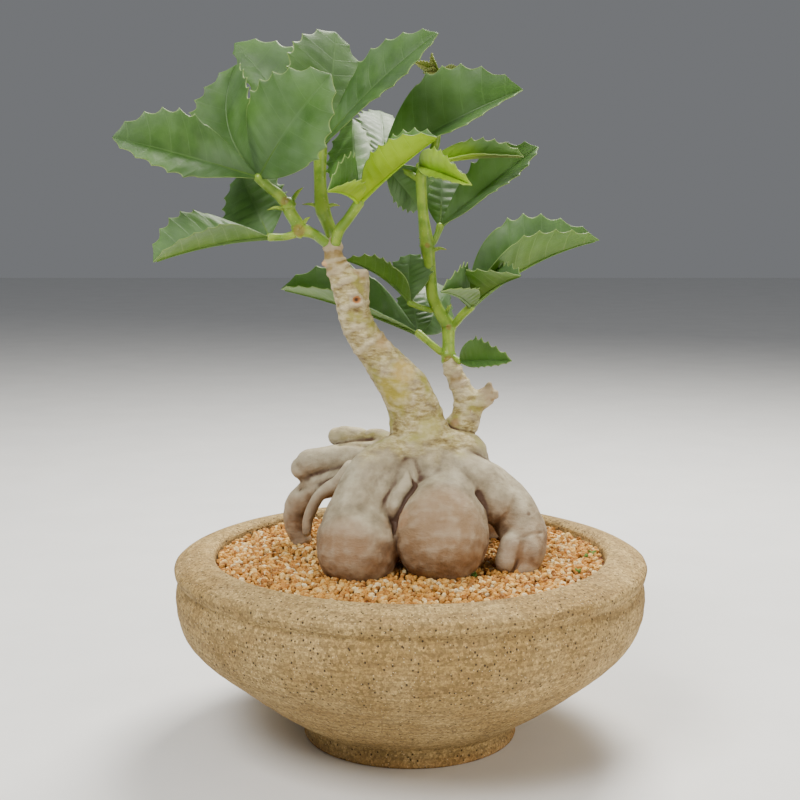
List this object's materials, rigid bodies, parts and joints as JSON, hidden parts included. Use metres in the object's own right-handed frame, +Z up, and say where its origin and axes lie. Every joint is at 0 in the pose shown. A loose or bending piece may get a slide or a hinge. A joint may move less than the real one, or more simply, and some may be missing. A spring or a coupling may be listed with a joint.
{
  "type": "potted tree grape",
  "caption": "Tree grape bonsai: a lobed, swollen caudex with a leaning trunk and toothed compound leaves, in a shallow stoneware bowl with grit.",
  "frame": {"origin": "middle of the pot's flat foot, on the surface that it stands on", "axes": "+Z up; +X to the right and -Y towards the viewer, as in the picture; the trunk leans towards -X"},
  "size_m": [0.2387, 0.22, 0.3286],
  "materials": {
    "stoneware": "unglazed speckled stoneware, fine throwing lines",
    "screen_plastic": "plain plastic mesh",
    "soil": "coarse potting mix",
    "gravel": "loose fired-clay granules",
    "bark": "smooth thin bark, brown below and cream above",
    "green_stem": "soft green stem",
    "foliage": "leathery leaf with a pale bloom"
  },
  "bodies": {
    "root": {"pot": "stoneware", "drainage_screen": "screen_plastic", "potting_mix": "soil", "grit_dressing": "gravel", "caudex_and_trunk": "bark", "shoot_left": "green_stem", "shoot_right": "green_stem", "leaf_left": "foliage", "leaf_low_left": "foliage", "leaf_centre": "foliage", "leaf_lit": "foliage", "leaf_upper_right": "foliage", "leaf_top": "foliage", "leaf_right": "foliage", "leaf_low_right": "foliage", "leaf_single": "foliage", "leaf_inner_left": "foliage", "leaf_inner_small": "foliage"}
  },
  "joints": []
}
